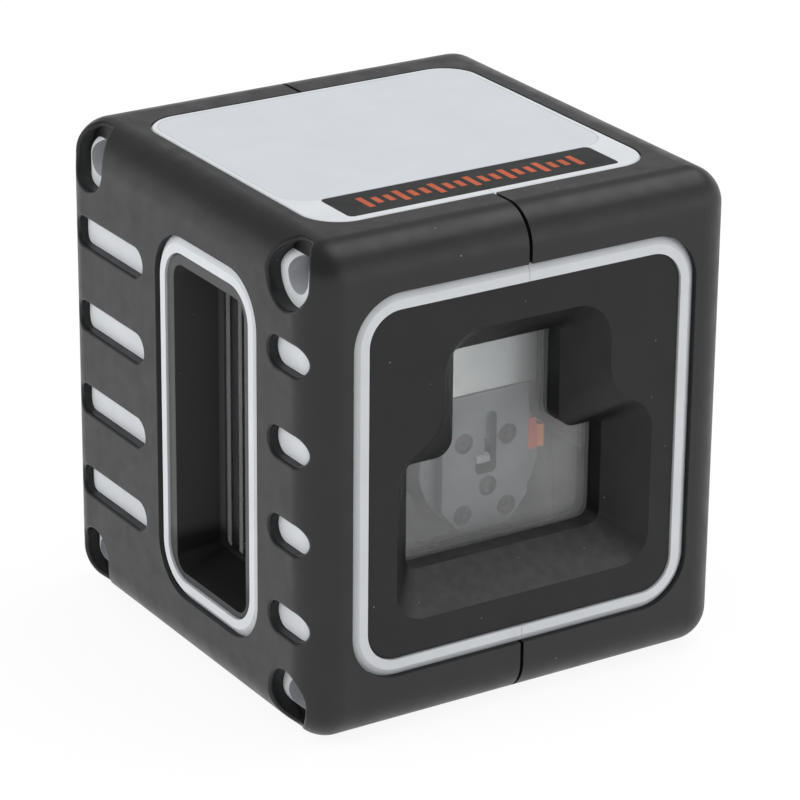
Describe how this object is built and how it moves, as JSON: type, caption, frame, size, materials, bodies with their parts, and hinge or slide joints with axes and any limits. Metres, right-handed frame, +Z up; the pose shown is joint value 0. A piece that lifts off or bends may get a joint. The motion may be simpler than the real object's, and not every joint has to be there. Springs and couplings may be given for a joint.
{
  "type": "laser level",
  "caption": "Cube-shaped cross-line laser level with a self-levelling pendulum, two beam windows, a rubber skin and a tripod thread.",
  "frame": {"origin": "centre of the housing in plan, at the plane it stands on", "axes": "+Z up, -Y out of the main beam window, -X out of the narrow side window"},
  "size_m": [0.076, 0.077, 0.08],
  "materials": {
    "skin": "satin",
    "shell": "satin",
    "bezel": "matte",
    "window": "hazy",
    "foil": "matte",
    "band": "matte",
    "screws": "bright",
    "brass": "machined",
    "panel": "matte",
    "dark_screws": "blackened",
    "slider": "satin",
    "lock_bar": "blackened",
    "pad": "matte",
    "button": "satin",
    "light_pipe": "clear",
    "board": "satin",
    "switch": "gloss",
    "cast_frame": "cast",
    "inner_plastic": "matte",
    "machined": "machined",
    "pins": "polished",
    "casting": "cast",
    "barrel": "dark anodised",
    "lens_plate": "satin",
    "lens": "polished",
    "strip": "satin",
    "copper": "machined",
    "magnet": "plated",
    "cell": "printed sleeve",
    "contact": "plated",
    "door": "matte"
  },
  "bodies": {
    "housing": {"left_skin": "skin", "right_skin": "skin", "left_shell": "shell", "right_shell": "shell", "front_bezel": "bezel", "side_bezel": "bezel", "front_window": "window", "side_window": "window", "top_foil": "foil", "band_left": "band", "band_right": "band", "housing_screws": "screws", "frame_screws": "screws", "board_screws": "screws", "base_screws": "screws", "tripod_insert": "brass", "control_panel": "panel", "light_pipes": "light_pipe", "circuit_board": "board", "tact_switch": "switch", "indicator_leds": "light_pipe", "gimbal_frame": "cast_frame", "base_frame": "inner_plastic", "outer_bearings": "brass", "damping_magnets": "magnet", "battery_tray": "inner_plastic", "cell_1": "cell", "cell_2": "cell", "cell_3": "cell", "contact_plates": "contact", "contact_springs": "contact"},
    "gimbal_ring": {"gimbal_ring": "machined", "outer_pins": "pins", "inner_bearings": "brass"},
    "pendulum": {"pendulum_body": "casting", "inner_pins": "pins", "front_barrel": "barrel", "lens_plate": "lens_plate", "plate_screws": "dark_screws", "upper_lens": "lens", "lower_lens": "lens", "side_lens": "lens", "laser_block": "machined", "side_barrel": "barrel", "flex_strip": "strip", "copper_disc": "copper", "balance_screws": "screws"},
    "lock_slider": {"lock_slider": "slider", "lock_arm": "lock_bar"},
    "lock_plunger": {"lock_plunger": "slider", "brake_pad": "pad"},
    "mode_button": {"mode_button": "button"},
    "battery_door": {"battery_door": "door"}
  },
  "joints": [
    {"name": "ring_tilt", "type": "hinge", "parent": "housing", "child": "gimbal_ring", "pos_m": [0.0014, -0.004, 0.054], "axis": [1, 0, 0], "range_deg": [-3.5, 3.5]},
    {"name": "pendulum_tilt", "type": "hinge", "parent": "gimbal_ring", "child": "pendulum", "pos_m": [0.0014, -0.004, 0.054], "axis": [0, 1, 0], "range_deg": [-3.5, 3.5]},
    {"name": "lock_slide", "type": "slide", "parent": "housing", "child": "lock_slider", "axis": [0, -1, 0], "range_m": [0, 0.008]},
    {"name": "brake_lift", "type": "slide", "parent": "housing", "child": "lock_plunger", "axis": [0, 0, 1], "range_m": [0, 0.0012]},
    {"name": "mode_press", "type": "slide", "parent": "housing", "child": "mode_button", "axis": [-1, 0, 0], "range_m": [0, 0.0005], "stiffness_N_per_m": 1000},
    {"name": "door_swing", "type": "hinge", "parent": "housing", "child": "battery_door", "pos_m": [0, 0.0371, 0.0135], "axis": [-1, 0, 0], "range_deg": [0, 75]}
  ],
  "couplings": [
    {"joint": "brake_lift", "follows": "lock_slide", "ratio": 0.15}
  ]
}
